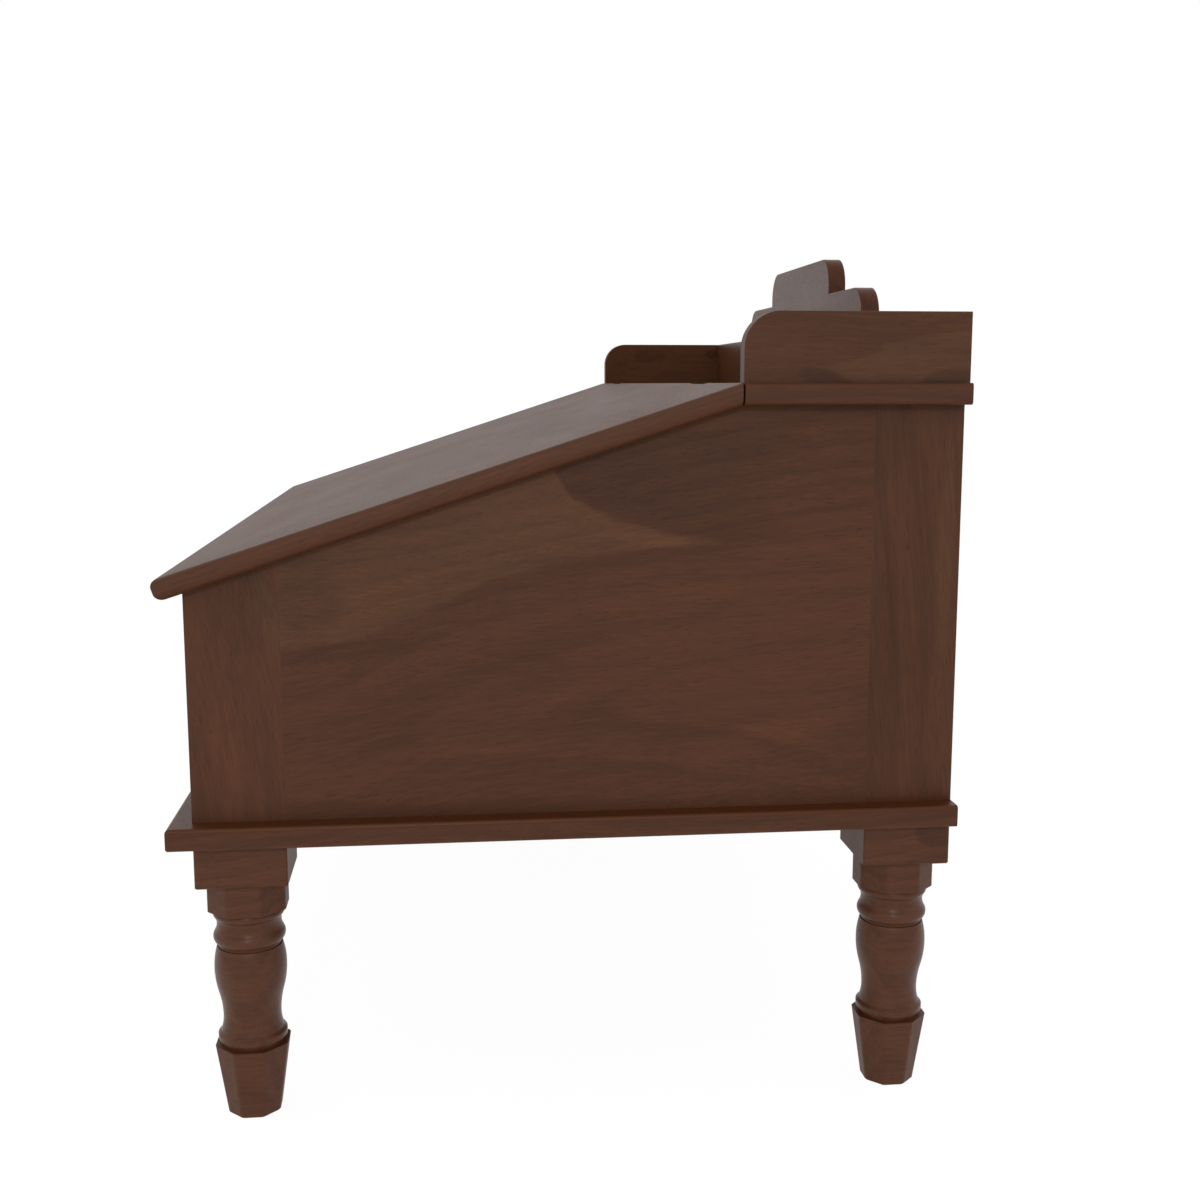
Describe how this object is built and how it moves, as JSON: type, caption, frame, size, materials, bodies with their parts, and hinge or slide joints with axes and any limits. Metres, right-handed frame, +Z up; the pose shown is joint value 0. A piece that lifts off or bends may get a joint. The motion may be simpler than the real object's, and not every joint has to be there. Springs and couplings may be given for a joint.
{
  "type": "lap desk",
  "caption": "Slant-top writing box on turned legs: a hinged sloping lid over a paper box, with a stepped gallery round a narrow top shelf.",
  "frame": {"origin": "on the floor under the middle of the desk's bounding box", "axes": "+X along the width to the sitter's right, +Y from the sitter to the back, +Z up"},
  "size_m": [0.715, 0.4447, 0.5096],
  "materials": {
    "walnut": "dark walnut stain under satin varnish",
    "pale_wood": "bare beech",
    "brass": "dark antique brass",
    "steel": "plain steel"
  },
  "bodies": {
    "carcass": {"base_board": "walnut", "right_side_panel": "walnut", "right_front_stile": "walnut", "right_rear_stile": "walnut", "left_side_panel": "walnut", "left_front_stile": "walnut", "left_rear_stile": "walnut", "front_board": "walnut", "back_board": "walnut", "top_shelf": "walnut", "right_gallery_end": "walnut", "left_gallery_end": "walnut", "gallery_crest": "walnut", "front_right_leg": "walnut", "front_left_leg": "walnut", "back_right_leg": "walnut", "back_left_leg": "walnut", "front_right_corner_block": "pale_wood", "front_left_corner_block": "pale_wood", "back_right_corner_block": "pale_wood", "back_left_corner_block": "pale_wood", "right_hinge_shelf_leaf": "brass", "left_hinge_shelf_leaf": "brass", "right_hinge_pin": "brass", "left_hinge_pin": "brass", "hinge_shelf_screws": "brass", "leg_screws": "steel", "base_screws": "steel", "shelf_dowels": "pale_wood", "gallery_dowels": "pale_wood"},
    "lid": {"lid_board": "walnut", "right_lid_batten": "walnut", "left_lid_batten": "walnut", "right_hinge_lid_leaf": "brass", "left_hinge_lid_leaf": "brass", "hinge_lid_screws": "brass", "batten_screws": "steel"}
  },
  "joints": [
    {"name": "lid_hinge", "type": "hinge", "parent": "carcass", "child": "lid", "pos_m": [0, 0.09435, 0.41945], "axis": [-1, 0, 0], "range_deg": [0, 109]}
  ]
}
